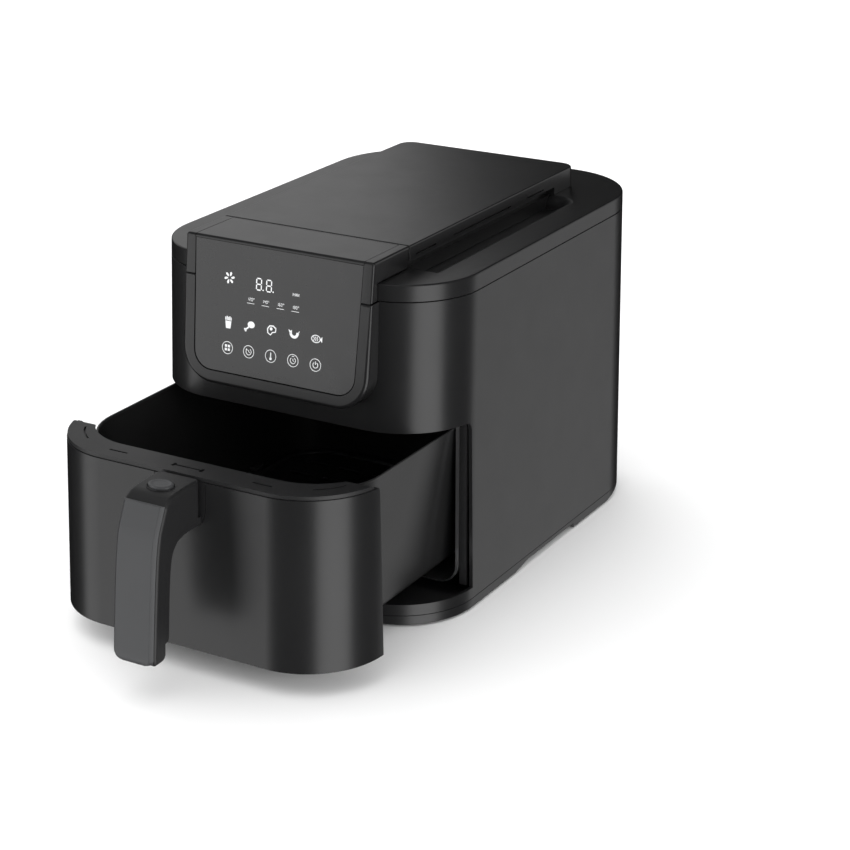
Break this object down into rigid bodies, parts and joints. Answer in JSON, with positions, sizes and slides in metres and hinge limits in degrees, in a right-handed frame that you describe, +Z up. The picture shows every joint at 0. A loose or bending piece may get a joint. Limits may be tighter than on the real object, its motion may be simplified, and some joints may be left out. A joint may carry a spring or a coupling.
{
  "type": "air fryer",
  "caption": "Dark countertop air fryer with a raised deck, a tilted touch panel and a rounded pull-out drawer with basket, crisper plate and release handle, drawn part of the way out.",
  "frame": {"origin": "on the counter under the centre of the whole object's bounding box, with the drawer part of the way out", "axes": "+Z up, -Y towards the front, where the handle and panel are, +X to the right seen from behind the handle looking at the panel, which is the object's right seen from the front"},
  "size_m": [0.2662, 0.5666, 0.282],
  "materials": {
    "shell_plastic": "satin",
    "dark_plastic": "matte",
    "grey_plastic": "satin",
    "panel_glass": "gloss",
    "display_window": "gloss",
    "circuit_board": "satin",
    "coated_sheet": "satin",
    "coated_aluminium": "satin",
    "bare_steel": "satin",
    "motor_can": "satin",
    "element_tube": "satin",
    "fan_aluminium": "satin",
    "rubber": "matte"
  },
  "bodies": {
    "housing": {"housing_shell": "shell_plastic", "base_plate": "shell_plastic", "top_cover": "shell_plastic", "deck_panel": "shell_plastic", "panel_bezel": "shell_plastic", "hood": "shell_plastic", "hood_insert": "shell_plastic", "panel_carrier": "dark_plastic", "mouth_frame": "dark_plastic", "drawer_runner_left": "dark_plastic", "drawer_runner_right": "dark_plastic", "door_switch": "dark_plastic", "thermal_cutout": "dark_plastic", "exhaust_grille": "dark_plastic", "panel_glass": "panel_glass", "display_module": "display_window", "display_board": "circuit_board", "power_board": "circuit_board", "chamber_liner": "coated_sheet", "temperature_probe": "bare_steel", "heat_shield": "bare_steel", "element_guard": "bare_steel", "motor_bracket": "bare_steel", "base_screw_front_left": "bare_steel", "base_screw_front_right": "bare_steel", "base_screw_rear_left": "bare_steel", "base_screw_rear_right": "bare_steel", "motor": "motor_can", "heater_coil": "element_tube", "cord_gland": "rubber", "foot_front_left": "rubber", "foot_front_right": "rubber", "foot_rear_left": "rubber", "foot_rear_right": "rubber"},
    "rotor": {"motor_shaft": "bare_steel", "cooking_fan": "fan_aluminium", "cooling_fan": "dark_plastic", "fan_nut": "bare_steel"},
    "drawer": {"drawer_front": "shell_plastic", "drawer_trim": "dark_plastic", "drawer_frame": "dark_plastic", "basket": "coated_sheet", "handle_bracket": "dark_plastic", "handle_grip": "dark_plastic", "handle_face": "grey_plastic", "button_spring": "bare_steel", "handle_screw_left": "bare_steel", "handle_screw_right": "bare_steel"},
    "crisper": {"crisper_plate": "coated_aluminium", "plate_bumper_front_left": "rubber", "plate_bumper_front_right": "rubber", "plate_bumper_rear_left": "rubber", "plate_bumper_rear_right": "rubber"},
    "release_button": {"release_button": "grey_plastic"},
    "latch": {"latch_tongue": "dark_plastic"}
  },
  "joints": [
    {"name": "drawer_slide", "type": "slide", "parent": "housing", "child": "drawer", "axis": [0, -1, 0], "range_m": [-0.131, 0.185]},
    {"name": "plate_lift", "type": "slide", "parent": "drawer", "child": "crisper", "axis": [0, 0, 1], "range_m": [0, 0.08]},
    {"name": "button_press", "type": "slide", "parent": "drawer", "child": "release_button", "axis": [0, 0, -1], "range_m": [0, 0.003], "stiffness_N_per_m": 600, "springref_m": -0.001, "deforming": ["button_spring"]},
    {"name": "latch_slide", "type": "slide", "parent": "drawer", "child": "latch", "axis": [0, -1, 0], "range_m": [0, 0.005]},
    {"name": "fan_spin", "type": "hinge", "parent": "housing", "child": "rotor", "pos_m": [0, 0.0881, 0.2], "axis": [0, 0, 1], "continuous": true}
  ],
  "couplings": [
    {"joint": "latch_slide", "follows": "button_press", "ratio": 1.666}
  ]
}
